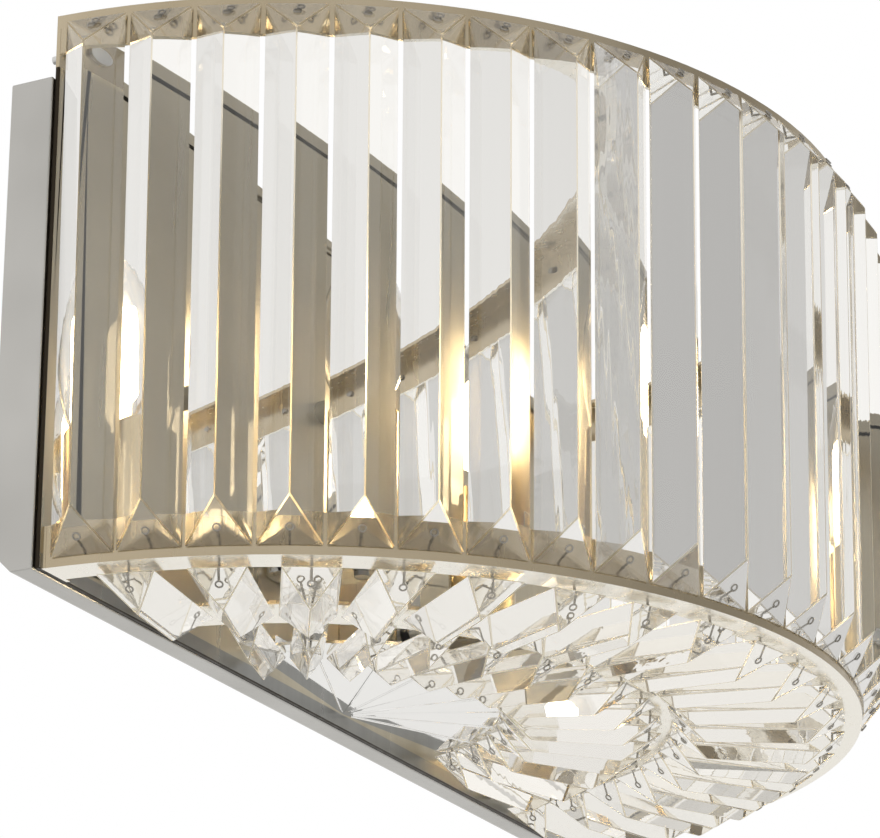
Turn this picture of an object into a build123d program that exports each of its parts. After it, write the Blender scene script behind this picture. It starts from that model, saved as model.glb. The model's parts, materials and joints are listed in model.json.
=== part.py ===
import os
from math import asin, cos, degrees, hypot, radians, sin

from build123d import *

os.makedirs("parts", exist_ok=True)

# Driving sizes in millimetres: the wall is Y = 0, the front faces -Y and +Z is up
plate_margin = 1.6
plate_height = 184.0
plate_depth = 17.0
plate_sheet = 1.2
plate_lower_cut = 8.5

# Drum of upright crystals, hung in a half circle about the wall line
drum_radius = 218.4
drum_flare = 4.5
drum_rise = 3.6
drum_end_gap = 3.0
prism_count = 27
prism_length = 200.0
prism_depth = 11.5
prism_gap = 0.8
prism_end_run = 14.5

# Two rows of radial crystals under the drum
outer_count = 19
inner_count = 15
outer_row_inset = 10.8
outer_row_span = 58.0
row_spacing = 12.0
inner_row_span = 55.0
row_gap = 0.8
hang_gap = 1.6
row_plate_gap = 1.5

# Back panel, rings, spokes and the polished fan
panel_sheet = 2.0
panel_lap = 1.5
panel_drop = 5.2
ring_sheet = 1.5
ring_leg = 15.0
ring_reach = 3.0
ring_flange = 13.0
ring_tab = 16.0
seat_gap = 0.3
middle_ring_rise = 0.5
middle_ring_margin = 5.0
spoke_sheet = 2.0
spoke_height = 3.5
spoke_foot = 8.0
fan_facets = 9
fan_rise = 2.8
fan_cone = 3.0
fan_sheet = 1.2
fan_margin = 2.0
fan_tab_width = 24.0
fan_tab_height = 14.0
fan_tab_spacing = 90.0

# Wire eye pins that hold the crystals
pin_radius = 0.45
pin_inset = 4.5
pin_hole_gap = 0.3
pin_ring_gap = 0.15
pin_head_radius = 1.2
pin_head = 0.8
pin_head_gap = 0.15
eye_radius = 1.25
eye_wire = 0.3
eye_gap = 0.1

# Lamps on two arms
lamp_spread = 52.0
lamp_reach = 54.0
arm_rise = 40.0
arm_width = 22.0
arm_sheet = 2.0
arm_foot = 34.0
arm_overhang = 2.0
holder_radius = 13.5
holder_height = 62.0
holder_foot_radius = 15.0
holder_foot = 3.0
socket_depth = 26.0
socket_gap = 0.3
cap_radius = 6.95
cap_shoulder = 2.0
eyelet_radius = 3.2
eyelet = 2.2
glass_radius = 17.5
glass_height = 70.0
glass_belly = 28.0
glass_neck = 7.4
glass_wall = 0.8
glass_tip = 2.6
stem_radius = 2.2
stem_height = 11.0
capsule_radius = 8.0
capsule_height = 38.0
capsule_round = 7.0

# Wall bracket, fixings and wiring
bracket_length = 300.0
bracket_height = 28.0
bracket_sheet = 2.0
wall_hole_spacing = 200.0
wall_hole_radius = 2.75
stud_spacing = 260.0
stud_radius = 2.0
stud_gap = 0.1
stud_collar_radius = 3.6
stud_collar = 1.2
stud_tail = 7.0
plate_hole_gap = 0.3
nut_radius = 4.4
nut_height = 9.0
nut_round = 3.0
cable_bore = 4.5
grommet_wall = 1.6
grommet_lip = 1.6
grommet_lip_sheet = 1.2
lead_radius = 2.0
lead_gap = 0.3
lead_rise = 8.0
lead_bend = 6.0
lead_depth = 8.0
lead_entry = 7.0
lead_drop = 20.0
block_width = 46.0
block_depth = 11.0
block_height = 20.0
block_place = 38.0
block_pitch = 14.0
block_entry = 6.0
block_round = 1.0
screw_radius = 1.5
screw_gap = 0.15
screw_head_radius = 2.9
screw_head = 1.8
screw_tail = 4.0
holder_screw_tail = 6.0

# Places worked out from the driving sizes
up = Vector(0, 0, 1)
layout_passes = 12
plate_width = 2 * (drum_radius + plate_margin)
plate_bottom = -plate_height / 2
panel_depth = plate_depth + panel_sheet
drum_bottom = plate_bottom + drum_rise
start_angle = degrees(asin((panel_depth + drum_end_gap) / drum_radius))
prism_pitch = (180 - 2 * start_angle) / prism_count
half_pitch = radians(prism_pitch / 2)
bottom_back = drum_radius * cos(half_pitch)
top_back = (drum_radius + drum_flare) * cos(half_pitch)
prism_width = 2 * drum_radius * sin(half_pitch) - prism_gap
lean_length = hypot(prism_length, top_back - bottom_back)
lean_rise = prism_length * prism_length / lean_length
drum_top = drum_bottom + lean_rise
bottom_leg_radius = bottom_back - seat_gap
outer_row_outer = bottom_leg_radius - outer_row_inset
outer_row_inner = outer_row_outer - outer_row_span
inner_row_outer = outer_row_inner - row_spacing
inner_row_inner = inner_row_outer - inner_row_span
leg_lap = ring_leg - ring_reach
top_leg_radius = top_back - (top_back - bottom_back) * leg_lap / lean_rise - seat_gap
top_pin_gap = seat_gap + (top_back - bottom_back) * (leg_lap - pin_inset) / lean_rise
bottom_flange = drum_bottom - ring_reach
top_flange = drum_top + ring_reach - ring_sheet
middle_ring = drum_bottom + middle_ring_rise
middle_inner = inner_row_outer - middle_ring_margin
middle_outer = outer_row_inner + middle_ring_margin
fan_rim = drum_bottom + fan_rise + fan_cone
fan_radius = inner_row_inner + fan_margin
arm_top = drum_bottom + arm_rise + arm_sheet
holder_top = arm_top + holder_height
socket_floor = holder_top - socket_depth
lead_height = arm_top + lead_rise
lamp_places = (-lamp_spread, lamp_spread)
pin_depth = prism_depth * pin_inset / prism_end_run
pin_cut = 2 * (hang_gap + 2 * ring_sheet)
screw_cut = 4 * (panel_sheet + ring_sheet)
front = -plate_depth
panel_face = -panel_depth


def outward(angle):
    """Level direction at an angle counted from the left end of the half circle."""
    return Vector(-cos(radians(angle)), -sin(radians(angle)), 0)


def row_plane(angle, start, end):
    """Plane of a crystal: its length along Z from start to end, each (radius, height), ridge on +Y."""
    away = outward(angle)
    foot = away * start[0] + up * start[1]
    tip = away * end[0] + up * end[1]
    return Plane(foot, x_dir=away.cross(up), z_dir=tip - foot)


def row_layout(count, inner_end):
    """Angles and crystal width of a radial row: it clears the panel, and neighbours keep their gap."""
    width = 0.0
    for _ in range(layout_passes):
        first = degrees(asin((panel_depth + row_plate_gap + width / 2) / inner_end))
        share = (180 - 2 * first) / (count - 1)
        width = 2 * inner_end * sin(radians(share / 2)) - row_gap
    return [first + share * step for step in range(count)], width


def gap_angles(angles):
    """Two angles that fall between neighbours of a row, mirrored left and right."""
    step = len(angles) // 4
    middle = (angles[step] + angles[step + 1]) / 2
    return [middle, 180 - middle]


def extended(plane, amount):
    """The same plane moved along its own Z."""
    return Plane(plane.origin + plane.z_dir * amount, x_dir=plane.x_dir, z_dir=plane.z_dir)


def crystal(length, width):
    """Three-sided bar on XY, flat back at Y = 0, ridge towards +Y, both ends cut to sloping facets."""
    with BuildPart() as bar:
        with BuildSketch():
            with BuildLine():
                Polyline((-width / 2, 0), (width / 2, 0), (0, prism_depth), close=True)
            make_face()
        extrude(amount=length)
        with BuildSketch(Plane.YZ):
            with BuildLine():
                Polyline(
                    (-prism_depth, -prism_end_run),
                    (2 * prism_depth, 2 * prism_end_run),
                    (2 * prism_depth, length - 2 * prism_end_run),
                    (-prism_depth, length + prism_end_run),
                    close=True,
                )
            make_face()
        extrude(amount=width, both=True, mode=Mode.INTERSECT)
        hole_planes = [Plane((0, 0, height), z_dir=(0, 1, 0)) for height in (pin_inset, length - pin_inset)]
        with Locations(*hole_planes):
            Cylinder(pin_radius + pin_hole_gap, 2 * prism_depth, mode=Mode.SUBTRACT)
    return bar.part


def pin_plane(plane, height):
    """Plane of a pin at a height along a crystal, with Z from the ring towards the ridge."""
    return Plane(plane.origin + plane.z_dir * height, x_dir=plane.x_dir, z_dir=plane.y_dir)


def eye_plane(plane, height, slope):
    """Plane of a pin's eye, lying on the end facet; slope is +1 at the foot and -1 at the far end."""
    facet = hypot(prism_depth, prism_end_run)
    away = (plane.y_dir * prism_end_run - plane.z_dir * slope * prism_depth) / facet
    along = (plane.y_dir * prism_depth + plane.z_dir * slope * prism_end_run) / facet
    seat = plane.origin + plane.z_dir * height + plane.y_dir * pin_depth
    return Plane(seat + away * (eye_wire + eye_gap) + along * eye_radius, x_dir=plane.x_dir, z_dir=away)


def write_pins(name, planes, heights, slopes, reach):
    """Eye pins as one group: shank from the ring's far face to the facet, flat head behind, eye in front."""
    pairs = [(plane, height, slope) for plane in planes for height, slope in zip(heights, slopes)]
    shank = reach + ring_sheet + pin_head_gap
    shanks = [extended(pin_plane(plane, height), -shank) for plane, height, slope in pairs]
    eyes = [eye_plane(plane, height, slope) for plane, height, slope in pairs]
    with BuildPart() as pins:
        with Locations(*shanks):
            Cylinder(pin_radius, shank + pin_depth + eye_wire, align=(Align.CENTER, Align.CENTER, Align.MIN))
        with Locations(*shanks):
            Cylinder(pin_head_radius, pin_head, align=(Align.CENTER, Align.CENTER, Align.MAX))
        with Locations(*eyes):
            Torus(eye_radius, eye_wire)
    pins.part.label = name
    export_step(pins.part, f"parts/{name}.step")


def ring_holes(planes, heights):
    """Planes of the holes that a row's pins need in the ring behind them, all cut by the pin_cut length."""
    return [pin_plane(plane, height) for plane in planes for height in heights]


# Planes of every crystal
prism_planes = [
    row_plane(start_angle + prism_pitch * (step + 0.5), (bottom_back, drum_bottom), (top_back, drum_top))
    for step in range(prism_count)
]
outer_length = outer_row_span + 2 * pin_inset
inner_length = inner_row_span + 2 * pin_inset


def hung_plane(angle, inner_hang, outer_hang):
    """Plane of a radial crystal under two hanging points, each (radius, underside of its ring)."""
    plane = row_plane(angle, inner_hang, outer_hang)
    return Plane(
        plane.origin + plane.y_dir * hang_gap - plane.z_dir * pin_inset,
        x_dir=plane.x_dir,
        z_dir=plane.z_dir,
    )


outer_hangs = ((outer_row_inner, middle_ring), (outer_row_outer, bottom_flange))
inner_hangs = ((inner_row_inner, fan_rim), (inner_row_outer, middle_ring))
outer_angles, outer_width = row_layout(outer_count, outer_row_inner - pin_inset)
inner_angles, inner_width = row_layout(inner_count, inner_row_inner - pin_inset)
outer_planes = [hung_plane(angle, *outer_hangs) for angle in outer_angles]
inner_planes = [hung_plane(angle, *inner_hangs) for angle in inner_angles]
outer_far = outer_length - pin_inset
inner_far = inner_length - pin_inset

# Upright crystals, one node each
upright = crystal(prism_length, prism_width)
for number, plane in enumerate(prism_planes, start=1):
    with BuildPart() as prism:
        with Locations(plane):
            add(upright)
    prism.part.label = f"prism_{number:02d}"
    export_step(prism.part, f"parts/prism_{number:02d}.step")

# Radial crystals of the underside
outer_bar = crystal(outer_length, outer_width)
with BuildPart() as outer_row_prisms:
    with Locations(*outer_planes):
        add(outer_bar)
outer_row_prisms.part.label = "outer_row_prisms"
export_step(outer_row_prisms.part, "parts/outer_row_prisms.step")

inner_bar = crystal(inner_length, inner_width)
with BuildPart() as inner_row_prisms:
    with Locations(*inner_planes):
        add(inner_bar)
inner_row_prisms.part.label = "inner_row_prisms"
export_step(inner_row_prisms.part, "parts/inner_row_prisms.step")

# Eye pins of the four rows
write_pins("bottom_hooks", prism_planes, (pin_inset,), (1,), seat_gap)
write_pins("top_hooks", prism_planes, (prism_length - pin_inset,), (-1,), top_pin_gap)
write_pins("outer_row_hooks", outer_planes, (pin_inset, outer_far), (1, -1), hang_gap)
write_pins("inner_row_hooks", inner_planes, (pin_inset, inner_far), (1, -1), hang_gap)


# Half hoops of L section, their end tabs lying on the back panel
def hoop(name, leg_radius, leg_low, flange_low, tab_low, holes):
    """Half hoop with an upright leg behind the crystals and a flange turned inwards."""
    with BuildPart() as ring:
        with BuildSketch(Plane.XZ):
            with Locations((leg_radius - ring_sheet, leg_low)):
                Rectangle(ring_sheet, ring_leg, align=(Align.MIN, Align.MIN))
            with Locations((leg_radius - ring_flange, flange_low)):
                Rectangle(ring_flange, ring_sheet, align=(Align.MIN, Align.MIN))
        revolve(axis=Axis.Z, revolution_arc=360)
        with BuildSketch(Plane.XZ.offset(panel_depth)):
            Rectangle(4 * leg_radius, 4 * prism_length)
        extrude(amount=4 * leg_radius, mode=Mode.INTERSECT)
        place = tab_place(leg_radius)
        with Locations((-place, panel_face, tab_low), (place, panel_face, tab_low)):
            Box(ring_tab, ring_sheet, ring_leg, align=(Align.CENTER, Align.MAX, Align.MIN))
        with Locations(*holes):
            Cylinder(pin_radius + pin_ring_gap, pin_cut, mode=Mode.SUBTRACT)
        with Locations(*tab_screws(leg_radius, tab_low)):
            Cylinder(screw_radius + screw_gap, screw_cut, mode=Mode.SUBTRACT)
    ring.part.label = name
    export_step(ring.part, f"parts/{name}.step")


def tab_place(leg_radius):
    """Distance of a hoop's end tabs from the middle."""
    return (leg_radius**2 - panel_depth**2) ** 0.5 - ring_tab / 2


def tab_screws(leg_radius, tab_low):
    """Planes of the two screws in a hoop's end tabs, Z towards the front."""
    place = tab_place(leg_radius)
    height = tab_low + ring_leg / 2
    return [Plane((side * place, front, height), z_dir=(0, -1, 0)) for side in (-1, 1)]


bottom_leg_low = bottom_flange
top_leg_low = top_flange + ring_sheet - ring_leg
panel_low = bottom_leg_low
panel_high = top_leg_low + ring_leg - panel_drop
top_tab_low = panel_high - ring_leg
bottom_holes = ring_holes(prism_planes, (pin_inset,)) + ring_holes(outer_planes, (outer_far,))
hoop("bottom_ring", bottom_leg_radius, bottom_leg_low, bottom_flange, panel_low, bottom_holes)
top_holes = ring_holes(prism_planes, (prism_length - pin_inset,))
hoop("top_ring", top_leg_radius, top_leg_low, top_flange, top_tab_low, top_holes)
hoop_screws = tab_screws(bottom_leg_radius, panel_low) + tab_screws(top_leg_radius, top_tab_low)

# Flat ring between the two radial rows, with turned-up ends
middle_place = (middle_inner + middle_outer) / 2
middle_end = (middle_place**2 - panel_depth**2) ** 0.5
middle_screws = [
    Plane((side * middle_end, front, middle_ring + ring_leg / 2), z_dir=(0, -1, 0)) for side in (-1, 1)
]
middle_holes = ring_holes(outer_planes, (pin_inset,)) + ring_holes(inner_planes, (inner_far,))
with BuildPart() as middle_band:
    with BuildSketch(Plane.XY.offset(middle_ring)):
        Circle(middle_outer)
        Circle(middle_inner, mode=Mode.SUBTRACT)
        with Locations((0, panel_face)):
            Rectangle(
                4 * middle_outer,
                4 * middle_outer,
                align=(Align.CENTER, Align.MAX),
                mode=Mode.INTERSECT,
            )
    extrude(amount=ring_sheet)
    with Locations((-middle_end, panel_face, middle_ring), (middle_end, panel_face, middle_ring)):
        Box(ring_tab, ring_sheet, ring_leg, align=(Align.CENTER, Align.MAX, Align.MIN))
    with Locations(*middle_holes):
        Cylinder(pin_radius + pin_ring_gap, pin_cut, mode=Mode.SUBTRACT)
    with Locations(*middle_screws):
        Cylinder(screw_radius + screw_gap, screw_cut, mode=Mode.SUBTRACT)
middle_band.part.label = "middle_ring"
export_step(middle_band.part, "parts/middle_ring.step")

# Polished fan: a half disc folded to a shallow cone of flat facets, apex at the panel
fan_points = [
    outward(180 * step / fan_facets) * fan_radius + Vector(0, panel_face, 0) for step in range(fan_facets + 1)
]
fan_tab_low = fan_rim - fan_cone * (1 - (fan_tab_spacing + fan_tab_width) / (2 * fan_radius))
fan_screws = [
    Plane((side * fan_tab_spacing / 2, front, fan_tab_low + fan_tab_height / 2), z_dir=(0, -1, 0))
    for side in (-1, 1)
]
with BuildPart() as fan:
    with BuildSketch(Plane.XY.offset(fan_rim)):
        with BuildLine():
            Polyline(*[(point.X, point.Y) for point in fan_points], close=True)
        make_face()
    extrude(amount=fan_sheet)
    for lift, mode in ((0, Mode.ADD), (fan_sheet, Mode.SUBTRACT)):
        with BuildSketch(Plane.XY.offset(fan_rim + lift)) as base:
            with BuildLine():
                Polyline(*[(point.X, point.Y) for point in fan_points], close=True)
            make_face()
        loft(sections=[base.sketch.face(), Vertex(0, panel_face, fan_rim - fan_cone + lift)], mode=mode)
    for side in (-1, 1):
        with Locations((side * fan_tab_spacing / 2, panel_face, fan_tab_low)):
            Box(fan_tab_width, fan_sheet, fan_tab_height, align=(Align.CENTER, Align.MAX, Align.MIN))
    with Locations(*ring_holes(inner_planes, (pin_inset,))):
        Cylinder(pin_radius + pin_ring_gap, pin_cut, mode=Mode.SUBTRACT)
    with Locations(*fan_screws):
        Cylinder(screw_radius + screw_gap, screw_cut, mode=Mode.SUBTRACT)
fan.part.label = "center_fan"
export_step(fan.part, "parts/center_fan.step")

# Spokes on edge that tie the rings and the fan together
flange_top = bottom_flange + ring_sheet
middle_top = middle_ring + ring_sheet
fan_top = fan_rim + fan_sheet
flange_inner = bottom_leg_radius - ring_flange
middle_half = (inner_row_outer + outer_row_inner) / 2
outer_spoke = (
    (flange_inner, flange_top),
    (flange_inner + spoke_foot, flange_top),
    (flange_inner + spoke_foot, flange_top + spoke_height),
    (middle_half, middle_top + spoke_height),
    (middle_half, middle_top),
    (middle_outer, middle_top),
)
inner_spoke = (
    (middle_inner, middle_top),
    (middle_half - spoke_sheet, middle_top),
    (middle_half - spoke_sheet, middle_top + spoke_height),
    (fan_radius, fan_top + spoke_height),
    (fan_radius, fan_top),
    (fan_radius + panel_depth, fan_top),
)
spoke_sets = [(angle, outer_spoke) for angle in gap_angles(outer_angles)]
spoke_sets += [(angle, inner_spoke) for angle in gap_angles(inner_angles)]
with BuildPart() as spokes:
    for angle, outline in spoke_sets:
        with BuildSketch(Plane((0, 0, 0), x_dir=outward(angle), z_dir=outward(angle).cross(up))):
            with BuildLine():
                Polyline(*outline, close=True)
            make_face()
        extrude(amount=spoke_sheet / 2, both=True)
spokes.part.label = "ring_spokes"
export_step(spokes.part, "parts/ring_spokes.step")

# Shallow tray on the wall, open at the back, its lower back edge cut away
foot_screw_height = arm_top + arm_foot - screw_head_radius - arm_sheet
foot_screws = [Plane((place, front, foot_screw_height), z_dir=(0, -1, 0)) for place in lamp_places]
screw_planes = hoop_screws + middle_screws + fan_screws + foot_screws
stud_planes = [Plane((side * stud_spacing / 2, 0, 0), z_dir=(0, -1, 0)) for side in (-1, 1)]
lead_planes = [Plane((place, front, lead_height), z_dir=(0, -1, 0)) for place in lamp_places]
lead_hole = lead_radius + lead_gap + grommet_wall
with BuildPart() as plate:
    for inset, mode in ((0, Mode.ADD), (plate_sheet, Mode.SUBTRACT)):
        low = plate_bottom + inset
        high = -plate_bottom - inset
        slant = plate_lower_cut - inset * (2**0.5 - 1)
        with BuildSketch(Plane.YZ):
            with BuildLine():
                Polyline(
                    (0, low + slant),
                    (-slant, low),
                    (front + inset, low),
                    (front + inset, high),
                    (0, high),
                    close=True,
                )
            make_face()
        extrude(amount=plate_width / 2 - inset, both=True, mode=mode)
    with Locations(*screw_planes):
        Cylinder(screw_radius + screw_gap, screw_cut, mode=Mode.SUBTRACT)
    with Locations(*[extended(plane, plate_depth) for plane in stud_planes]):
        Cylinder(stud_radius + plate_hole_gap, 4 * plate_sheet, mode=Mode.SUBTRACT)
    with Locations(*lead_planes):
        Cylinder(lead_hole, 4 * plate_sheet, mode=Mode.SUBTRACT)
plate.part.label = "backplate"
export_step(plate.part, "parts/backplate.step")

# Polished panel that closes the back of the drum, flat on the tray and taller than it
panel_half = tab_place(bottom_leg_radius) + ring_tab / 2 + panel_lap
with BuildPart() as panel:
    with BuildSketch(Plane.XZ.offset(plate_depth)):
        with Locations((0, panel_low)):
            Rectangle(2 * panel_half, panel_high - panel_low, align=(Align.CENTER, Align.MIN))
    extrude(amount=panel_sheet)
    with Locations(*screw_planes):
        Cylinder(screw_radius + screw_gap, screw_cut, mode=Mode.SUBTRACT)
    with Locations(*[extended(plane, plate_depth) for plane in stud_planes]):
        Cylinder(stud_radius + plate_hole_gap, 4 * panel_sheet, mode=Mode.SUBTRACT)
    with Locations(*lead_planes):
        Cylinder(lead_hole, 4 * panel_sheet, mode=Mode.SUBTRACT)
panel.part.label = "back_panel"
export_step(panel.part, "parts/back_panel.step")

# Steel strap screwed to the wall behind the tray
with BuildPart() as bracket:
    with BuildSketch(Plane.XZ):
        SlotOverall(bracket_length, bracket_height)
        with GridLocations(wall_hole_spacing, 0, 2, 1):
            Circle(wall_hole_radius, mode=Mode.SUBTRACT)
        with GridLocations(stud_spacing, 0, 2, 1):
            Circle(stud_radius + stud_gap, mode=Mode.SUBTRACT)
        Circle(cable_bore + grommet_wall, mode=Mode.SUBTRACT)
    extrude(amount=bracket_sheet)
bracket.part.label = "wall_bracket"
export_step(bracket.part, "parts/wall_bracket.step")

# Studs from the strap and the dome nuts that hold the panel and the tray on them
stud_length = panel_depth + stud_tail
with BuildPart() as fixings:
    with Locations(*stud_planes):
        Cylinder(stud_radius, stud_length, align=(Align.CENTER, Align.CENTER, Align.MIN))
    with Locations(*[extended(plane, bracket_sheet) for plane in stud_planes]):
        Cylinder(stud_collar_radius, stud_collar, align=(Align.CENTER, Align.CENTER, Align.MIN))
fixings.part.label = "bracket_studs"
export_step(fixings.part, "parts/bracket_studs.step")

nut_planes = [extended(plane, panel_depth) for plane in stud_planes]
with BuildPart() as nuts:
    with Locations(*nut_planes):
        Cylinder(nut_radius, nut_height, align=(Align.CENTER, Align.CENTER, Align.MIN))
    fillet(nuts.edges().group_by(Axis.Y)[0], nut_round)
    with Locations(*nut_planes):
        Cylinder(
            stud_radius + stud_gap,
            stud_tail + stud_gap,
            align=(Align.CENTER, Align.CENTER, Align.MIN),
            mode=Mode.SUBTRACT,
        )
nuts.part.label = "dome_nuts"
export_step(nuts.part, "parts/dome_nuts.step")

# Pan-head screws: rings, fan and arms to the panel and tray, and the lampholders to their arms
seat_sheets = [ring_sheet] * (len(hoop_screws) + len(middle_screws))
seat_sheets += [fan_sheet] * len(fan_screws) + [arm_sheet] * len(foot_screws)
screw_sets = [
    (extended(plane, panel_sheet + sheet), panel_sheet + sheet + screw_tail)
    for plane, sheet in zip(screw_planes, seat_sheets)
]
holder_screws = [
    Plane((place, -lamp_reach, arm_top - arm_sheet), z_dir=(0, 0, -1)) for place in lamp_places
]
screw_sets += [(plane, arm_sheet + holder_screw_tail) for plane in holder_screws]
with BuildPart() as screws:
    for plane, shank in screw_sets:
        with Locations(plane):
            Cylinder(screw_head_radius, screw_head, align=(Align.CENTER, Align.CENTER, Align.MIN))
            Cylinder(screw_radius, shank, align=(Align.CENTER, Align.CENTER, Align.MAX))
screws.part.label = "frame_screws"
export_step(screws.part, "parts/frame_screws.step")

# Flat arms that carry the lampholders
arm_end = lamp_reach + holder_foot_radius + arm_overhang
with BuildPart() as arms:
    for place in lamp_places:
        with Locations((place, panel_face, arm_top)):
            Box(
                arm_width,
                arm_end - panel_depth,
                arm_sheet,
                align=(Align.CENTER, Align.MAX, Align.MAX),
            )
            Box(arm_width, arm_sheet, arm_foot, align=(Align.CENTER, Align.MAX, Align.MIN))
    with Locations(*foot_screws, *holder_screws):
        Cylinder(screw_radius + screw_gap, screw_cut, mode=Mode.SUBTRACT)
    with Locations(*[extended(plane, panel_sheet) for plane in lead_planes]):
        Cylinder(lead_hole, 4 * arm_sheet, mode=Mode.SUBTRACT)
arms.part.label = "lamp_arms"
export_step(arms.part, "parts/lamp_arms.step")

# Rubber grommets, one for the supply cable and one for each lamp lead
cable_sleeve = Plane((0, 0, 0), z_dir=(0, -1, 0))
lead_sleeves = [extended(plane, -plate_sheet) for plane in lead_planes]
grommet_sets = [(cable_sleeve, cable_bore, bracket_sheet, 0)]
grommet_sets += [
    (plane, lead_radius + lead_gap, plate_sheet + panel_sheet + arm_sheet, grommet_lip_sheet)
    for plane in lead_sleeves
]
with BuildPart() as grommets:
    for plane, bore, thickness, back_lip in grommet_sets:
        with Locations(plane):
            Cylinder(bore + grommet_wall, thickness, align=(Align.CENTER, Align.CENTER, Align.MIN))
        with Locations(extended(plane, thickness)):
            Cylinder(
                bore + grommet_wall + grommet_lip,
                grommet_lip_sheet,
                align=(Align.CENTER, Align.CENTER, Align.MIN),
            )
        if back_lip:
            with Locations(plane):
                Cylinder(
                    bore + grommet_wall + grommet_lip,
                    back_lip,
                    align=(Align.CENTER, Align.CENTER, Align.MAX),
                )
        with Locations(plane):
            Cylinder(bore, 8 * thickness, mode=Mode.SUBTRACT)
grommets.part.label = "grommets"
export_step(grommets.part, "parts/grommets.step")

# Terminal block on the strap, with a lead entry below and a supply entry above for each way
block_low = -block_height / 2
block_ways = [block_place + block_pitch * step for step in (-1, 0, 1)]
with BuildPart() as block:
    with Locations((block_place, -bracket_sheet, 0)):
        Box(block_width, block_depth, block_height, align=(Align.CENTER, Align.MAX, Align.CENTER))
    fillet(block.edges().filter_by(Axis.Z), block_round)
    for way in block_ways:
        with Locations((way, -lead_depth, block_low), (way, -lead_depth, -block_low)):
            Cylinder(lead_radius + lead_gap, 2 * block_entry, mode=Mode.SUBTRACT)
block.part.label = "terminal_block"
export_step(block.part, "parts/terminal_block.step")

# Sheathed leads from the terminal block, through the grommets, along the arms into the lampholders
lead_level = lead_height - lead_drop
with BuildPart() as leads:
    for way, place in zip(block_ways, lamp_places):
        start = Vector(way, -lead_depth, block_low + block_entry - lead_gap)
        route = [
            start,
            Vector(way, -lead_depth, lead_level),
            Vector(place, -lead_depth, lead_level),
            Vector(place, -lead_depth, lead_height),
            Vector(place, -lamp_reach + holder_radius - lead_entry + lead_gap, lead_height),
        ]
        with BuildLine() as path:
            FilletPolyline(*route, radius=lead_bend)
        with BuildSketch(Plane(start, z_dir=(0, 0, -1))):
            Circle(lead_radius)
        sweep(path=path.line)
leads.part.label = "internal_leads"
export_step(leads.part, "parts/internal_leads.step")

# Lampholders, each with a socket from above and a lead entry behind
for number, place in enumerate(lamp_places, start=1):
    with BuildPart(Plane((place, -lamp_reach, arm_top))) as holder:
        Cylinder(holder_radius, holder_height, align=(Align.CENTER, Align.CENTER, Align.MIN))
        Cylinder(holder_foot_radius, holder_foot, align=(Align.CENTER, Align.CENTER, Align.MIN))
        with Locations((0, 0, holder_height)):
            Cylinder(
                cap_radius + socket_gap,
                socket_depth,
                align=(Align.CENTER, Align.CENTER, Align.MAX),
                mode=Mode.SUBTRACT,
            )
        with Locations(Plane((0, holder_radius - lead_entry, lead_rise), z_dir=(0, 1, 0))):
            Cylinder(
                lead_radius + lead_gap,
                2 * lead_entry,
                align=(Align.CENTER, Align.CENTER, Align.MIN),
                mode=Mode.SUBTRACT,
            )
        Cylinder(screw_radius + screw_gap, 2 * (holder_screw_tail + screw_gap), mode=Mode.SUBTRACT)
    holder.part.label = f"lampholder_{number}"
    export_step(holder.part, f"parts/lampholder_{number}.step")


# Candle bulbs: brass cap with its end contact, thin glass and the lit capsule inside
def candle(shrink):
    """Solid of the glass standing on XY, its outline drawn in by a wall."""
    neck = glass_neck - shrink
    belly = glass_radius - shrink
    tip = glass_tip - shrink / 2
    top = glass_height - shrink
    with BuildPart() as body:
        with BuildSketch(Plane.XZ):
            with BuildLine():
                TangentArc((belly, glass_belly), (neck, 0), tangent=(0, -1))
                TangentArc((belly, glass_belly), (tip, top - tip), tangent=(0, 1))
                Polyline((tip, top - tip), (0, top), (0, 0), (neck, 0))
            make_face()
        revolve(axis=Axis.Z)
    return body.part


bulb_foot = holder_top + cap_shoulder
cap_foot = socket_floor + socket_gap
envelope = candle(0)
hollow = candle(glass_wall)
for number, place in enumerate(lamp_places, start=1):
    with BuildPart(Plane((place, -lamp_reach, cap_foot))) as cap:
        Cylinder(eyelet_radius, eyelet, align=(Align.CENTER, Align.CENTER, Align.MIN))
        with Locations((0, 0, eyelet)):
            Cylinder(
                cap_radius, bulb_foot - cap_foot - eyelet, align=(Align.CENTER, Align.CENTER, Align.MIN)
            )
    cap.part.label = f"bulb_cap_{number}"
    export_step(cap.part, f"parts/bulb_cap_{number}.step")

    with BuildPart() as glass:
        with Locations((place, -lamp_reach, bulb_foot)):
            add(envelope)
            add(hollow, mode=Mode.SUBTRACT)
    glass.part.label = f"bulb_glass_{number}"
    export_step(glass.part, f"parts/bulb_glass_{number}.step")

    with BuildPart(Plane((place, -lamp_reach, bulb_foot))) as capsule:
        Cylinder(stem_radius, stem_height, align=(Align.CENTER, Align.CENTER, Align.MIN))
        with Locations((0, 0, stem_height)):
            Cylinder(capsule_radius, capsule_height, align=(Align.CENTER, Align.CENTER, Align.MIN))
        fillet(capsule.edges().group_by(Axis.Z)[-1], capsule_round)
    capsule.part.label = f"bulb_capsule_{number}"
    export_step(capsule.part, f"parts/bulb_capsule_{number}.step")
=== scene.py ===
import json
from math import atan2, cos, radians, sin

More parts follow.
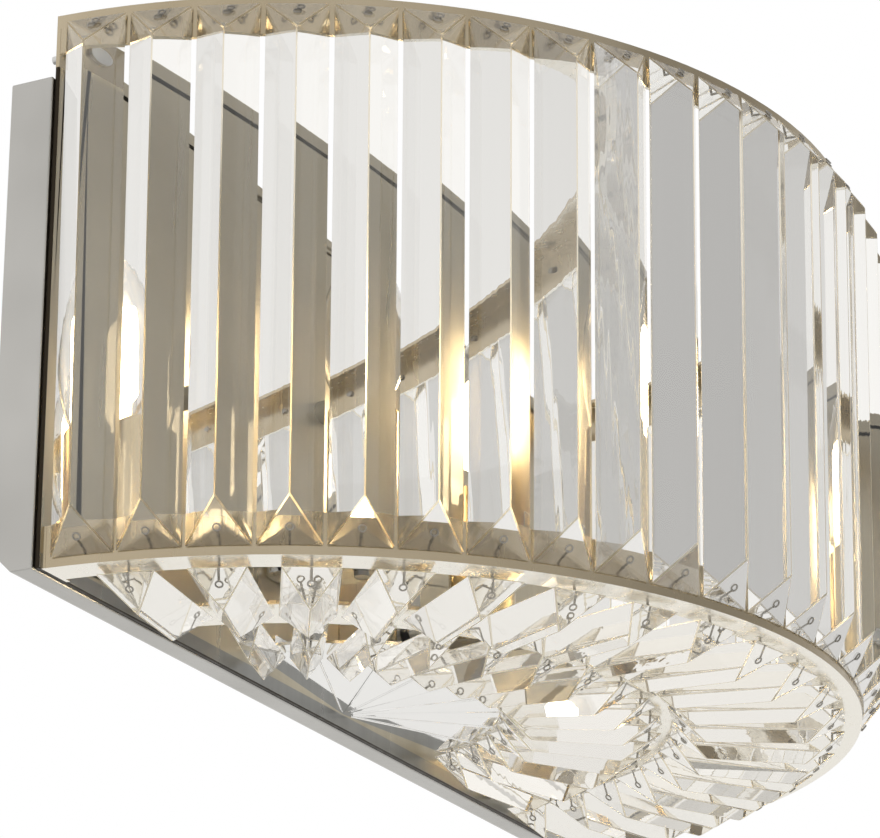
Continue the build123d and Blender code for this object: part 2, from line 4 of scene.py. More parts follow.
import bmesh
import bpy
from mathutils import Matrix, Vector


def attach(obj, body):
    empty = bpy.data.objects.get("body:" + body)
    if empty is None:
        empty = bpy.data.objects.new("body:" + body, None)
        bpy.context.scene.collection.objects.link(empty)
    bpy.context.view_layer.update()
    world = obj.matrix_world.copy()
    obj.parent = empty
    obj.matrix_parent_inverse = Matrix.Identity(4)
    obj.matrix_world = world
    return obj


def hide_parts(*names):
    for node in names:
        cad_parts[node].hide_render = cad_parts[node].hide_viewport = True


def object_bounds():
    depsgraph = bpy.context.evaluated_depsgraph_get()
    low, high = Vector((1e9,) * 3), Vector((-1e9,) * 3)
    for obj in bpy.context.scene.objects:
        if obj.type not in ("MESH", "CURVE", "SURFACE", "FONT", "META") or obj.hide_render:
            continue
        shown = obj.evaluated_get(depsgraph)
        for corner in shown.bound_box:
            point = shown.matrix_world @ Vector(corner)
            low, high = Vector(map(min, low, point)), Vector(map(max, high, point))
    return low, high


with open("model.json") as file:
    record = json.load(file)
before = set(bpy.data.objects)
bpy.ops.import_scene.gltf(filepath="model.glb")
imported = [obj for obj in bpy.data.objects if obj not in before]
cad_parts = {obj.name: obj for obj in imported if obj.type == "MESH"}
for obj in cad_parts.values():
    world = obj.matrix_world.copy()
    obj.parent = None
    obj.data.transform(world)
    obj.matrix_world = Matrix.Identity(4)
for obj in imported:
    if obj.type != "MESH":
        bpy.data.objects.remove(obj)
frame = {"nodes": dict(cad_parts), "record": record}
cad_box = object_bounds()
nodes = frame["nodes"]

# Camera, fitted to the photographed hooks of the crystals
IMAGE_WIDTH_PX = 880
FOCAL_PX = 3560
SENSOR_MM = 36.0
CAMERA_AZIMUTH = -63.6
CAMERA_ELEVATION = -21.02
CAMERA_DISTANCE = 1.31
CAMERA_TARGET = Vector((-0.0786, -0.1, -0.0037))

# Floor, in metres, and its colours
FLOOR_DROP = 1.15
FLOOR_SIZE = 16.0
FLOOR_DARK = (0.80, 0.80, 0.79)
FLOOR_LIGHT = (0.84, 0.84, 0.83)
FLOOR_ROUGHNESS = 0.8
FLOOR_CLOUD_SCALE = 3.0
FLOOR_CLOUD_DETAIL = 3.0
FLOOR_GLOW = 0.15

# Studio round the lamp; a stop is a lean towards an axis, from -1 to 1, and its grey level
DARK_SIDE = (0.42, -0.85, 0.36)
DARK_SIDE_STOPS = [(-0.5, 1.0), (0.1, 0.88), (0.57, 0.8), (0.75, 0.7), (0.9, 0.56), (1.0, 0.44)]
UPWARDS = (0.0, 0.0, 1.0)
LIGHT_END_STOPS = [(-0.75, 0.95), (-0.3, 0.0), (0.6, 0.0), (0.9, 0.8)]
STUDIO_WARMTH = (1.0, 0.985, 0.955, 1.0)
WHITE = (1.0, 1.0, 1.0, 1.0)
LIGHT_BOUNCES = 64

# Unevenness that the finishes share; depths in metres
NOISE_LOW = 0.3
NOISE_HIGH = 0.7
EVEN = (1.0, 1.0, 1.0)
GRAIN_DETAIL = 4.0
GRAIN_DEPTH = 0.0001
CLOUD_SCALE = 18.0
CLOUD_DETAIL = 2.0
WAVE_DETAIL = 1.0
WAVE_STRETCH = (1.0, 1.0, 0.02)
WAVE_DEPTH = 0.00002

# Glass and the lit capsule of a bulb
CRYSTAL_IOR = 1.5
CRYSTAL_POLISH = (0.0, 0.004)
CRYSTAL_WAVE_SCALE = 260.0
CRYSTAL_WAVE = 0.5
BULB_IOR = 1.46
CAPSULE_DARK = (0.93, 0.89, 0.80)
CAPSULE_LIGHT = (0.97, 0.94, 0.88)
CAPSULE_ROUGHNESS = (0.4, 0.55)
CAPSULE_FROST_SCALE = 900.0
CAPSULE_FROST_DETAIL = 2.0
CAPSULE_GLOW = (1.0, 0.80, 0.50, 1.0)
CAPSULE_STRENGTH = 260.0

# Painted reflection and painted shade on single faces; lengths in metres, and an underside's normal is
# lower than its limit
UNDERSIDE = -0.7
# Colour of the hoops' downward faces: a painted reflection of the bright floor below
RING_UNDERSIDE_PAINTED_REFLECTION = (0.97, 0.94, 0.87, 1.0)
# Width and colour of the dark band at the panel's sides and foot: painted shade of the gap between
# panel and plate
PANEL_EDGE = 0.0004
PANEL_EDGE_PAINTED_SHADE = (0.035, 0.028, 0.02, 1.0)
# The panel is greyer below this height: painted shade under the fan
PANEL_SHADE_HEIGHT = -0.0858
PANEL_FOOT_PAINTED_SHADE = (0.30, 0.30, 0.29, 1.0)

# Colour sockets of a Mix node, by place, because its other sockets have the same names
MIX_FIRST = 6
MIX_SECOND = 7
MIX_RESULT = 2

# Edges and shading; lengths in metres
WELD_GAP = 1e-6
CRYSTAL_EDGE = 0.0004
CRYSTAL_SHORTEST = 0.004
METAL_EDGE = 0.0006
METAL_EDGE_STEPS = 2
SMOOTH_ANGLE = radians(30.0)
FLAT_ANGLE = radians(0.5)

# Places on the lamp in metres, as in its CAD model
PANEL_HALF = 0.21845
PANEL_LOW = -0.0914
FAN_FACETS = 9
FAN_APEX = Vector((0.0, -0.019, -0.0856))
FAN_RADIUS = 0.084
FAN_RIM_RISE = 0.003

# Top end facet of the upright bars, each as (outwards, upwards): its middle, its normal and its slope
TOP_SEAT = (0.22604, 0.10697)
FACET_AWAY = (0.7972, 0.6036)
FACET_ALONG = (0.6036, -0.7972)

# Fine trim, in metres
LOOP_RADIUS = 0.00125
LOOP_WIRE = 0.0003
LOOP_LIFT = 0.0011
LOOP_SHIFT = 0.0012
LOOP_SIDES = 20
LOOP_WIRE_SIDES = 8
SCREW_HEAD_RADIUS = 0.0029
SCREW_HEAD_HEIGHT = 0.0018
SCREW_SLOT = 0.0009
SCREW_HEAD_SIDES = 24
SCREW_HEAD_RINGS = 12
BEAD_RADIUS = 0.00045
BEAD_SIDES = 12
BEAD_START = 0.004


def feed(tree, socket, source):
    """Gives a socket its source, which is another node's output or a plain value."""
    if isinstance(source, bpy.types.NodeSocket):
        tree.links.new(source, socket)
    else:
        socket.default_value = source


def reckoned(tree, operation, first, second=None):
    """The result of one sum, with a second member where the sum takes two."""
    step = tree.nodes.new("ShaderNodeMath")
    step.operation = operation
    feed(tree, step.inputs[0], first)
    if second is not None:
        feed(tree, step.inputs[1], second)
    return step.outputs["Value"]


def mixed(tree, blend, share, first, second):
    """The first colour blended with a share of the second."""
    mix = tree.nodes.new("ShaderNodeMix")
    mix.data_type = "RGBA"
    mix.blend_type = blend
    feed(tree, mix.inputs["Factor"], share)
    feed(tree, mix.inputs[MIX_FIRST], first)
    feed(tree, mix.inputs[MIX_SECOND], second)
    return mix.outputs[MIX_RESULT]


def principled(name):
    """A new material with its node tree and its one shader."""
    material = bpy.data.materials.new(name)
    material.use_nodes = True
    tree = material.node_tree
    return material, tree, tree.nodes["Principled BSDF"]


def speckle(tree, scale, detail, stretch=EVEN):
    """Noise in the piece's own coordinates, drawn out along an axis where its stretch is small."""
    place = tree.nodes.new("ShaderNodeTexCoord")
    mapping = tree.nodes.new("ShaderNodeMapping")
    mapping.inputs["Scale"].default_value = stretch
    noise = tree.nodes.new("ShaderNodeTexNoise")
    noise.inputs["Scale"].default_value = scale
    noise.inputs["Detail"].default_value = detail
    tree.links.new(place.outputs["Object"], mapping.inputs["Vector"])
    tree.links.new(mapping.outputs["Vector"], noise.inputs["Vector"])
    return noise.outputs["Fac"]


def spread(tree, source, low, high):
    """The source as a number between low and high."""
    fitted = tree.nodes.new("ShaderNodeMapRange")
    fitted.inputs["From Min"].default_value = NOISE_LOW
    fitted.inputs["From Max"].default_value = NOISE_HIGH
    fitted.inputs["To Min"].default_value = low
    fitted.inputs["To Max"].default_value = high
    tree.links.new(source, fitted.inputs["Value"])
    return fitted.outputs["Result"]


def tint(tree, source, dark, light):
    """A colour between dark and light, chosen by the source."""
    ramp = tree.nodes.new("ShaderNodeValToRGB")
    ramp.color_ramp.elements[0].position = NOISE_LOW
    ramp.color_ramp.elements[0].color = (*dark, 1.0)
    ramp.color_ramp.elements[1].position = NOISE_HIGH
    ramp.color_ramp.elements[1].color = (*light, 1.0)
    tree.links.new(source, ramp.inputs["Fac"])
    return ramp.outputs["Color"]


def ripple(tree, shader, source, strength, depth):
    """Relief from the source, of a depth in metres."""
    bump = tree.nodes.new("ShaderNodeBump")
    bump.inputs["Strength"].default_value = strength
    bump.inputs["Distance"].default_value = depth
    tree.links.new(source, bump.inputs["Height"])
    tree.links.new(bump.outputs["Normal"], shader.inputs["Normal"])


def metal(name, dark, light, rough, grain_scale, relief, grain_stretch=EVEN):
    """Metal whose colour, polish and fine grain vary a little."""
    material, tree, shader = principled(name)
    grain = speckle(tree, grain_scale, GRAIN_DETAIL, grain_stretch)
    cloud = speckle(tree, CLOUD_SCALE, CLOUD_DETAIL)
    shader.inputs["Metallic"].default_value = 1.0
    tree.links.new(tint(tree, cloud, dark, light), shader.inputs["Base Color"])
    tree.links.new(spread(tree, grain, *rough), shader.inputs["Roughness"])
    ripple(tree, shader, grain, relief, GRAIN_DEPTH)
    return material


def plastic(name, dark, light, rough, grain_scale, relief):
    """Moulded or extruded material with a fine uneven surface."""
    material, tree, shader = principled(name)
    grain = speckle(tree, grain_scale, GRAIN_DETAIL)
    tree.links.new(tint(tree, grain, dark, light), shader.inputs["Base Color"])
    tree.links.new(spread(tree, grain, *rough), shader.inputs["Roughness"])
    ripple(tree, shader, grain, relief, GRAIN_DEPTH)
    return material


def glass(name, ior, dark, light, rough, wave_scale, relief):
    """Glass with a trace of tint and long faint waves in its polish."""
    material, tree, shader = principled(name)
    wave = speckle(tree, wave_scale, WAVE_DETAIL, WAVE_STRETCH)
    shader.inputs["Transmission Weight"].default_value = 1.0
    shader.inputs["IOR"].default_value = ior
    tree.links.new(tint(tree, wave, dark, light), shader.inputs["Base Color"])
    tree.links.new(spread(tree, wave, *rough), shader.inputs["Roughness"])
    ripple(tree, shader, wave, relief, WAVE_DEPTH)
    return material


def lit_capsule():
    """Frosted capsule of a lit bulb, a little uneven in its frosting."""
    material, tree, shader = principled("lit_capsule")
    frost = speckle(tree, CAPSULE_FROST_SCALE, CAPSULE_FROST_DETAIL)
    tree.links.new(tint(tree, frost, CAPSULE_DARK, CAPSULE_LIGHT), shader.inputs["Base Color"])
    tree.links.new(spread(tree, frost, *CAPSULE_ROUGHNESS), shader.inputs["Roughness"])
    shader.inputs["Emission Color"].default_value = CAPSULE_GLOW
    shader.inputs["Emission Strength"].default_value = CAPSULE_STRENGTH
    return material


def repainted(material, share, colour):
    """Gives a material another base colour where the share is one."""
    tree = material.node_tree
    base = tree.nodes["Principled BSDF"].inputs["Base Color"]
    tree.links.new(mixed(tree, "MIX", share, base.links[0].from_socket, colour), base)


def split_axes(tree, vector):
    """The X, Y and Z of a vector as three outputs."""
    parts = tree.nodes.new("ShaderNodeSeparateXYZ")
    tree.links.new(vector, parts.inputs["Vector"])
    return parts.outputs


def panel_metal():
    """Brushed panel, its warm tint partly painted bulb light, with painted shade in a grey strip under
    the fan and a dark band of painted shade at its sides and foot.
    """
    # Warm tint: partly the nickel's own tone, partly painted warm light from the bulbs
    material = metal(
        "brushed_nickel", dark=(0.44, 0.395, 0.305), light=(0.54, 0.49, 0.385),
        rough=(0.26, 0.42), grain_scale=260.0, relief=0.05, grain_stretch=(1.0, 1.0, 0.03),
    )
    tree = material.node_tree
    place = split_axes(tree, tree.nodes.new("ShaderNodeTexCoord").outputs["Object"])
    across = reckoned(tree, "ABSOLUTE", place["X"])
    side = reckoned(tree, "GREATER_THAN", across, PANEL_HALF - PANEL_EDGE)
    foot = reckoned(tree, "LESS_THAN", place["Z"], PANEL_LOW + PANEL_EDGE)
    # Greyer strip low on the panel: painted shade under the fan
    repainted(material, reckoned(tree, "LESS_THAN", place["Z"], PANEL_SHADE_HEIGHT), PANEL_FOOT_PAINTED_SHADE)
    # Dark band at the sides and foot: painted shade of the gap behind the panel's edges
    repainted(material, reckoned(tree, "MAXIMUM", side, foot), PANEL_EDGE_PAINTED_SHADE)
    return material


def ring_metal():
    """Warm satin hoops whose downward faces are painted paler, a painted reflection of the bright
    floor.
    """
    material = metal(
        "satin_nickel", dark=(0.42, 0.35, 0.24), light=(0.52, 0.45, 0.33),
        rough=(0.14, 0.30), grain_scale=300.0, relief=0.04, grain_stretch=(1.0, 1.0, 0.2),
    )
    tree = material.node_tree
    normal = split_axes(tree, tree.nodes.new("ShaderNodeNewGeometry").outputs["True Normal"])
    # Faces that point down take the pale colour, a painted reflection of the floor
    repainted(material, reckoned(tree, "LESS_THAN", normal["Z"], UNDERSIDE), RING_UNDERSIDE_PAINTED_REFLECTION)
    return material


finishes = {
    "crystal": glass(
        "cut_crystal", CRYSTAL_IOR, dark=(0.985, 0.985, 0.98), light=(0.995, 0.995, 0.99),
        rough=CRYSTAL_POLISH, wave_scale=CRYSTAL_WAVE_SCALE, relief=CRYSTAL_WAVE,
    ),
    "bulb_glass": glass(
        "bulb_glass", BULB_IOR, dark=(0.97, 0.96, 0.94), light=(0.99, 0.985, 0.97),
        rough=(0.0, 0.02), wave_scale=80.0, relief=0.03,
    ),
    "polished_nickel": metal(
        "polished_nickel", dark=(0.43, 0.425, 0.41), light=(0.51, 0.505, 0.49),
        rough=(0.12, 0.24), grain_scale=320.0, relief=0.03, grain_stretch=(1.0, 1.0, 0.04),
    ),
    "brushed_nickel": panel_metal(),
    "satin_nickel": ring_metal(),
    "mirror_nickel": metal(
        "mirror_nickel", dark=(0.93, 0.93, 0.93), light=(0.97, 0.97, 0.97),
        rough=(0.03, 0.07), grain_scale=200.0, relief=0.01, grain_stretch=(1.0, 0.1, 1.0),
    ),
    "nickel_wire": metal(
        "nickel_wire", dark=(0.24, 0.23, 0.21), light=(0.42, 0.40, 0.37),
        rough=(0.12, 0.25), grain_scale=700.0, relief=0.05,
    ),
    "zinc_steel": metal(
        "zinc_steel", dark=(0.55, 0.56, 0.58), light=(0.68, 0.68, 0.67),
        rough=(0.25, 0.42), grain_scale=150.0, relief=0.08,
    ),
    "brass_holder": metal(
        "brass_holder", dark=(0.62, 0.50, 0.30), light=(0.74, 0.62, 0.42),
        rough=(0.14, 0.26), grain_scale=300.0, relief=0.05, grain_stretch=(0.3, 0.3, 1.0),
    ),
    "cap_metal": metal(
        "cap_metal", dark=(0.74, 0.56, 0.28), light=(0.85, 0.70, 0.42),
        rough=(0.15, 0.3), grain_scale=260.0, relief=0.05,
    ),
    "grommet_rubber": plastic(
        "grommet_rubber", dark=(0.015, 0.015, 0.015), light=(0.03, 0.03, 0.03),
        rough=(0.55, 0.75), grain_scale=900.0, relief=0.2,
    ),
    "lead_sheath": plastic(
        "lead_sheath", dark=(0.78, 0.77, 0.73), light=(0.86, 0.85, 0.82),
        rough=(0.35, 0.5), grain_scale=500.0, relief=0.1,
    ),
    "terminal_plastic": plastic(
        "terminal_plastic", dark=(0.80, 0.79, 0.74), light=(0.88, 0.87, 0.82),
        rough=(0.35, 0.55), grain_scale=400.0, relief=0.1,
    ),
    "lit_capsule": lit_capsule(),
}
# Crystal of the inner rows, tinted warm: painted warm light from inside the lamp
crystal_painted_warm_light = glass(
    "crystal_painted_warm_light", CRYSTAL_IOR, dark=(0.985, 0.97, 0.935), light=(0.995, 0.98, 0.95),
    rough=CRYSTAL_POLISH, wave_scale=CRYSTAL_WAVE_SCALE, relief=CRYSTAL_WAVE,
)
# Ground edge faces of the crystals, tinted gold: painted glints of the warm bulbs
ground_edge_glint = glass(
    "ground_edge_glint", CRYSTAL_IOR, dark=(0.88, 0.75, 0.50), light=(0.95, 0.85, 0.65),
    rough=(0.35, 0.55), wave_scale=900.0, relief=0.3,
)
for entry in frame["record"]["subparts"]:
    mesh = nodes[entry["node"]].data
    mesh.materials.clear()
    mesh.materials.append(finishes[entry["material_slot"]])


def in_scene(name, data):
    """A new object of a mesh or a camera, put in the scene."""
    item = bpy.data.objects.new(name, data)
    bpy.context.scene.collection.objects.link(item)
    return item


def softened(node):
    """Welds a CAD node's triangles and rounds its edges, with the mesh itself kept."""
    weld = nodes[node].modifiers.new("weld", "WELD")
    weld.merge_threshold = WELD_GAP
    bevel = nodes[node].modifiers.new("edge", "BEVEL")
    bevel.width = METAL_EDGE
    bevel.segments = METAL_EDGE_STEPS
    bevel.limit_method = "ANGLE"
    bevel.angle_limit = SMOOTH_ANGLE


def welded(node):
    """A copy of a CAD node's mesh to measure, with the points that its triangles share joined."""
    mesh = bmesh.new()
    mesh.from_mesh(nodes[node].data)
    bmesh.ops.remove_doubles(mesh, verts=mesh.verts, dist=WELD_GAP)
    mesh.verts.index_update()
    mesh.verts.ensure_lookup_table()
    return mesh


def linked_points(mesh, edges):
    """Points of a mesh in groups, each of them all that the given edges join."""
    links = {}
    for edge in edges:
        first, second = edge.verts
        links.setdefault(first.index, set()).add(second.index)
        links.setdefault(second.index, set()).add(first.index)
    groups = []
    left = dict.fromkeys(links)
    while left:
        waiting = [next(iter(left))]
        group = []
        while waiting:
            index = waiting.pop()
            if index in left:
                del left[index]
                group.append(mesh.verts[index].co.copy())
                waiting.extend(sorted(links[index]))
        groups.append(group)
    return groups


def crystal_corners(node):
    """Corners of each bar of a crystal node, found along its long sharp edges, not at pin holes."""
    mesh = welded(node)
    sharp = [
        edge for edge in mesh.edges
        if edge.calc_length() > CRYSTAL_SHORTEST and edge.calc_face_angle(0.0) > SMOOTH_ANGLE
    ]
    bars = linked_points(mesh, sharp)
    mesh.free()
    return bars


def cut_crystals(node, finish):
    """The bars of a crystal node with every edge ground off a little."""
    bars = bmesh.new()
    for corners in crystal_corners(node):
        bmesh.ops.convex_hull(bars, input=[bars.verts.new(corner) for corner in corners])
    bmesh.ops.dissolve_limit(bars, angle_limit=FLAT_ANGLE, verts=bars.verts, edges=bars.edges)
    bmesh.ops.bevel(
        bars,
        geom=list(bars.edges),
        offset=CRYSTAL_EDGE,
        offset_type="OFFSET",
        segments=1,
        affect="EDGES",
        # the edge faces take the second material, with its painted gold glints
        material=1,
    )
    bmesh.ops.recalc_face_normals(bars, faces=bars.faces)
    mesh = bpy.data.meshes.new(f"cut_{node}")
    bars.to_mesh(mesh)
    bars.free()
    mesh.materials.append(finish)
    mesh.materials.append(ground_edge_glint)
    piece = in_scene(f"cut_{node}", mesh)
    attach(piece, "frame")
    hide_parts(node)


def loose_boxes(node):
    """Lowest and highest corner of each separate solid of a CAD node."""
    mesh = welded(node)
    boxes = []
    for points in linked_points(mesh, mesh.edges):
        low = Vector(min(point[axis] for point in points) for axis in range(3))
        high = Vector(max(point[axis] for point in points) for axis in range(3))
        boxes.append((low, high))
    mesh.free()
    return boxes


def shape_group(name, sizes):
    """Geometry Nodes group with named sizes, and its first and last node."""
    group = bpy.data.node_groups.new(name, "GeometryNodeTree")
    group.interface.new_socket("Geometry", in_out="INPUT", socket_type="NodeSocketGeometry")
    for label, size in sizes.items():
        socket = group.interface.new_socket(label, in_out="INPUT", socket_type="NodeSocketFloat")
        socket.default_value = size
    group.interface.new_socket("Geometry", in_out="OUTPUT", socket_type="NodeSocketGeometry")
    return group, group.nodes.new("NodeGroupInput"), group.nodes.new("NodeGroupOutput")


def chain(group, *steps):
    """Links nodes in a row, the first output of each to the first input of the next."""
    for step, following in zip(steps, steps[1:]):
        group.links.new(step.outputs[0], following.inputs[0])


def smooth_group():
    """Group that shades a piece smooth up to an angle."""
    group, start, end = shape_group("smooth_by_angle", {"Angle": SMOOTH_ANGLE})
    merge = group.nodes.new("GeometryNodeMergeByDistance")
    merge.inputs["Distance"].default_value = WELD_GAP
    faces = group.nodes.new("GeometryNodeSetShadeSmooth")
    edges = group.nodes.new("GeometryNodeSetShadeSmooth")
    edges.domain = "EDGE"
    chain(group, start, merge, faces, edges, end)
    fold = group.nodes.new("GeometryNodeInputMeshEdgeAngle")
    test = group.nodes.new("FunctionNodeCompare")
    test.operation = "LESS_EQUAL"
    group.links.new(fold.outputs["Unsigned Angle"], test.inputs[0])
    group.links.new(start.outputs["Angle"], test.inputs[1])
    group.links.new(test.outputs["Result"], edges.inputs["Shade Smooth"])
    return group


def place_group(name, sizes, finish):
    """Group that sets one shape on every point, with its sizes and the socket for the shape."""
    group, start, end = shape_group(name, sizes)
    spots = group.nodes.new("GeometryNodeInstanceOnPoints")
    whole = group.nodes.new("GeometryNodeRealizeInstances")
    coat = group.nodes.new("GeometryNodeSetMaterial")
    coat.inputs["Material"].default_value = finishes[finish]
    chain(group, start, spots, whole, coat, end)
    facing_way = group.nodes.new("GeometryNodeInputNamedAttribute")
    facing_way.data_type = "FLOAT_VECTOR"
    facing_way.inputs["Name"].default_value = "facing"
    turn = group.nodes.new("FunctionNodeAlignRotationToVector")
    turn.axis = "Z"
    group.links.new(facing_way.outputs["Attribute"], turn.inputs["Vector"])
    group.links.new(turn.outputs["Rotation"], spots.inputs["Rotation"])
    return group, start.outputs, spots.inputs["Instance"]


def set_on_points(name, group, sizes, places):
    """A plain mesh piece from a place group, one shape at each (point, facing)."""
    mesh = bpy.data.meshes.new(f"{name}_places")
    mesh.from_pydata([point for point, _ in places], [], [])
    ways = mesh.attributes.new("facing", "FLOAT_VECTOR", "POINT")
    for item, (_, way) in zip(ways.data, places):
        item.vector = way
    piece = in_scene(name, mesh)
    grow = piece.modifiers.new("grow", "NODES")
    grow.node_group = group
    for socket in group.interface.items_tree:
        if socket.name in sizes and socket.in_out == "INPUT":
            grow[socket.identifier] = sizes[socket.name]
    depsgraph = bpy.context.evaluated_depsgraph_get()
    made = bpy.data.meshes.new_from_object(piece.evaluated_get(depsgraph))
    piece.modifiers.remove(grow)
    piece.data = made
    made.name = name
    return piece


def vector_of(group, **sides):
    """A vector from the sides that are named, each another node's output or a plain number."""
    vector = group.nodes.new("ShaderNodeCombineXYZ")
    for side, source in sides.items():
        feed(group, vector.inputs[side], source)
    return vector.outputs["Vector"]


def wire_loops():
    """Second wire loop beside the eye of every top hook."""
    sizes = {"Loop radius": LOOP_RADIUS, "Wire radius": LOOP_WIRE}
    group, size, shape = place_group("wire_loops", sizes, "nickel_wire")
    loop = group.nodes.new("GeometryNodeCurvePrimitiveCircle")
    loop.inputs["Resolution"].default_value = LOOP_SIDES
    wire = group.nodes.new("GeometryNodeCurvePrimitiveCircle")
    wire.inputs["Resolution"].default_value = LOOP_WIRE_SIDES
    tube = group.nodes.new("GeometryNodeCurveToMesh")
    group.links.new(size["Loop radius"], loop.inputs["Radius"])
    group.links.new(size["Wire radius"], wire.inputs["Radius"])
    group.links.new(loop.outputs["Curve"], tube.inputs["Curve"])
    group.links.new(wire.outputs["Curve"], tube.inputs["Profile Curve"])
    group.links.new(tube.outputs["Mesh"], shape)
    places = []
    for low, high in loose_boxes("top_hooks"):
        middle = (low + high) / 2
        angle = atan2(middle.y, middle.x)
        out = Vector((cos(angle), sin(angle), 0.0))
        across = Vector((-sin(angle), cos(angle), 0.0))
        seat, away, along = (
            out * outwards + Vector((0.0, 0.0, upwards))
            for outwards, upwards in (TOP_SEAT, FACET_AWAY, FACET_ALONG)
        )
        spot = seat + away * LOOP_LIFT - along * LOOP_SHIFT / 2 + across * LOOP_SHIFT
        places.append((spot, away))
    return set_on_points("top_wire_loops", group, sizes, places)


def screw_heads():
    """Domed screw heads with a cross recess, over the plain heads of the frame screws."""
    sizes = {
        "Head radius": SCREW_HEAD_RADIUS,
        "Head height": SCREW_HEAD_HEIGHT,
        "Slot width": SCREW_SLOT,
    }
    group, size, shape = place_group("screw_heads", sizes, "zinc_steel")
    radius, height, slot = (size[label] for label in sizes)
    ball = group.nodes.new("GeometryNodeMeshUVSphere")
    ball.inputs["Segments"].default_value = SCREW_HEAD_SIDES
    ball.inputs["Rings"].default_value = SCREW_HEAD_RINGS
    dome = group.nodes.new("GeometryNodeTransform")
    recess = group.nodes.new("GeometryNodeMeshBoolean")
    recess.operation = "DIFFERENCE"
    flatness = vector_of(group, X=1.0, Y=1.0, Z=reckoned(group, "DIVIDE", height, radius))
    group.links.new(radius, ball.inputs["Radius"])
    group.links.new(ball.outputs["Mesh"], dome.inputs["Geometry"])
    group.links.new(flatness, dome.inputs["Scale"])
    group.links.new(dome.outputs["Geometry"], recess.inputs["Mesh 1"])
    for bar_size in (
        vector_of(group, X=radius, Y=slot, Z=height),
        vector_of(group, X=slot, Y=radius, Z=height),
    ):
        bar = group.nodes.new("GeometryNodeMeshCube")
        lift = group.nodes.new("GeometryNodeTransform")
        group.links.new(bar_size, bar.inputs["Size"])
        group.links.new(bar.outputs["Mesh"], lift.inputs["Geometry"])
        group.links.new(vector_of(group, Z=height), lift.inputs["Translation"])
        group.links.new(lift.outputs["Geometry"], recess.inputs["Mesh 2"])
    group.links.new(recess.outputs["Mesh"], shape)
    places = []
    for low, high in loose_boxes("frame_screws"):
        spot = (low + high) / 2
        extent = high - low
        if extent.z > extent.x:
            spot.z = low.z + SCREW_HEAD_HEIGHT
            places.append((spot, Vector((0.0, 0.0, -1.0))))
        else:
            spot.y = low.y + SCREW_HEAD_HEIGHT
            places.append((spot, Vector((0.0, -1.0, 0.0))))
    return set_on_points("screw_heads", group, sizes, places)


def fold_beads():
    """Thin rounded ridges along the folds of the fan."""
    sizes = {"Bead radius": BEAD_RADIUS, "Bead length": FAN_RADIUS - BEAD_START}
    group, size, shape = place_group("fold_beads", sizes, "mirror_nickel")
    bead = group.nodes.new("GeometryNodeMeshCylinder")
    bead.inputs["Vertices"].default_value = BEAD_SIDES
    group.links.new(size["Bead radius"], bead.inputs["Radius"])
    group.links.new(size["Bead length"], bead.inputs["Depth"])
    group.links.new(bead.outputs["Mesh"], shape)
    places = []
    for step in range(1, FAN_FACETS):
        angle = radians(180.0 * step / FAN_FACETS)
        rim = Vector((-cos(angle) * FAN_RADIUS, -sin(angle) * FAN_RADIUS, FAN_RIM_RISE))
        way = rim.normalized()
        places.append((FAN_APEX + way * (FAN_RADIUS + BEAD_START) / 2, way))
    return set_on_points("fan_fold_beads", group, sizes, places)


flat_pieces = (
    "backplate", "back_panel", "center_fan", "lamp_arms", "wall_bracket", "terminal_block",
)
for name in flat_pieces:
    softened(name)
smooth = smooth_group()
for name in nodes:
    if name.startswith("prism_"):
        cut_crystals(name, finishes["crystal"])
    elif name.endswith("row_prisms"):
        # the inner rows get the crystal with painted warm light
        cut_crystals(name, crystal_painted_warm_light)
    elif name not in flat_pieces:
        nodes[name].modifiers.new("smooth", "NODES").node_group = smooth
added = [
    (wire_loops(), "nickel_wire"),
    (screw_heads(), "zinc_steel"),
    (fold_beads(), "mirror_nickel"),
]
for piece, finish_slot in added:
    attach(piece, "frame")


def facing(tree, direction, axis, stops):
    """Grey level by how far a direction leans to an axis, from -1, away from it, to 1, along it."""
    lean = tree.nodes.new("ShaderNodeVectorMath")
    lean.operation = "DOT_PRODUCT"
    lean.inputs[1].default_value = Vector(axis).normalized()
    tree.links.new(direction, lean.inputs[0])
    share = tree.nodes.new("ShaderNodeMapRange")
    share.inputs["From Min"].default_value = -1.0
    tree.links.new(lean.outputs["Value"], share.inputs["Value"])
    ramp = tree.nodes.new("ShaderNodeValToRGB")
    for place, _ in stops[2:]:
        ramp.color_ramp.elements.new((place + 1) / 2)
    for element, (place, grey) in zip(ramp.color_ramp.elements, sorted(stops)):
        element.position = (place + 1) / 2
        element.color = (grey, grey, grey, 1.0)
    tree.links.new(share.outputs["Result"], ramp.inputs["Fac"])
    return ramp.outputs["Color"]


def studio_world():
    """White to the camera, and a soft studio of light and grey sides for what metal and glass show."""
    world = bpy.data.worlds.new("studio")
    world.use_nodes = True
    tree = world.node_tree
    tree.nodes.clear()
    direction = tree.nodes.new("ShaderNodeTexCoord").outputs["Generated"]
    side = facing(tree, direction, DARK_SIDE, DARK_SIDE_STOPS)
    ends = facing(tree, direction, UPWARDS, LIGHT_END_STOPS)
    lighter = mixed(tree, "LIGHTEN", 1.0, side, ends)
    studio = tree.nodes.new("ShaderNodeBackground")
    tree.links.new(mixed(tree, "MULTIPLY", 1.0, lighter, STUDIO_WARMTH), studio.inputs["Color"])
    plain = tree.nodes.new("ShaderNodeBackground")
    plain.inputs["Color"].default_value = WHITE
    path = tree.nodes.new("ShaderNodeLightPath")
    choose = tree.nodes.new("ShaderNodeMixShader")
    output = tree.nodes.new("ShaderNodeOutputWorld")
    tree.links.new(path.outputs["Is Camera Ray"], choose.inputs["Fac"])
    tree.links.new(studio.outputs["Background"], choose.inputs[1])
    tree.links.new(plain.outputs["Background"], choose.inputs[2])
    tree.links.new(choose.outputs["Shader"], output.inputs["Surface"])
    bpy.context.scene.world = world


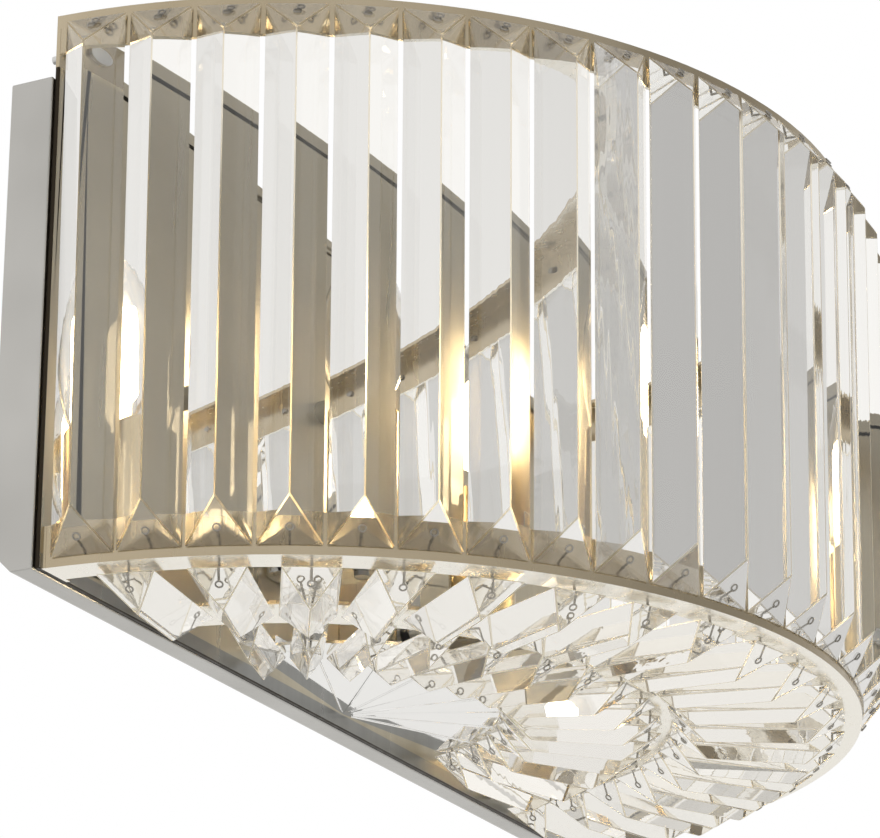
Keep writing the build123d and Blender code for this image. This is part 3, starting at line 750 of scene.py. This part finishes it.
def floor_finish():
    """Pale floor that metal, glass and the camera see as near white, with the lamp's shadow kept."""
    material, tree, shader = principled("pale_floor")
    cloud = speckle(tree, FLOOR_CLOUD_SCALE, FLOOR_CLOUD_DETAIL)
    tree.links.new(tint(tree, cloud, FLOOR_DARK, FLOOR_LIGHT), shader.inputs["Base Color"])
    shader.inputs["Roughness"].default_value = FLOOR_ROUGHNESS
    path = tree.nodes.new("ShaderNodeLightPath")
    seen = path.outputs["Is Camera Ray"]
    for ray in ("Is Glossy Ray", "Is Transmission Ray"):
        seen = reckoned(tree, "MAXIMUM", seen, path.outputs[ray])
    glow = reckoned(tree, "MULTIPLY", seen, FLOOR_GLOW)
    shader.inputs["Emission Color"].default_value = WHITE
    tree.links.new(glow, shader.inputs["Emission Strength"])
    return material


def pale_floor():
    """Plain pale floor well under the lamp."""
    low = cad_box[0].z - FLOOR_DROP
    half = FLOOR_SIZE / 2
    mesh = bpy.data.meshes.new("floor")
    corners = [(-half, -half, low), (half, -half, low), (half, half, low), (-half, half, low)]
    mesh.from_pydata(corners, [], [(0, 1, 2, 3)])
    mesh.materials.append(floor_finish())
    floor = in_scene("floor", mesh)


def photo_camera():
    """Camera at the photograph's place and lens."""
    azimuth = radians(CAMERA_AZIMUTH)
    elevation = radians(CAMERA_ELEVATION)
    level = cos(elevation)
    back = Vector((sin(azimuth) * level, -cos(azimuth) * level, sin(elevation)))
    data = bpy.data.cameras.new("camera")
    data.sensor_width = SENSOR_MM
    data.lens = FOCAL_PX * SENSOR_MM / IMAGE_WIDTH_PX
    camera = in_scene("camera", data)
    camera.location = CAMERA_TARGET + back * CAMERA_DISTANCE
    camera.rotation_mode = "QUATERNION"
    camera.rotation_quaternion = (-back).to_track_quat("-Z", "Y")
    bpy.context.scene.camera = camera


studio_world()
pale_floor()
photo_camera()
bpy.context.scene.view_settings.view_transform = "Standard"
bpy.context.scene.cycles.max_bounces = LIGHT_BOUNCES
bpy.context.scene.cycles.transmission_bounces = LIGHT_BOUNCES
bpy.context.scene.cycles.glossy_bounces = LIGHT_BOUNCES
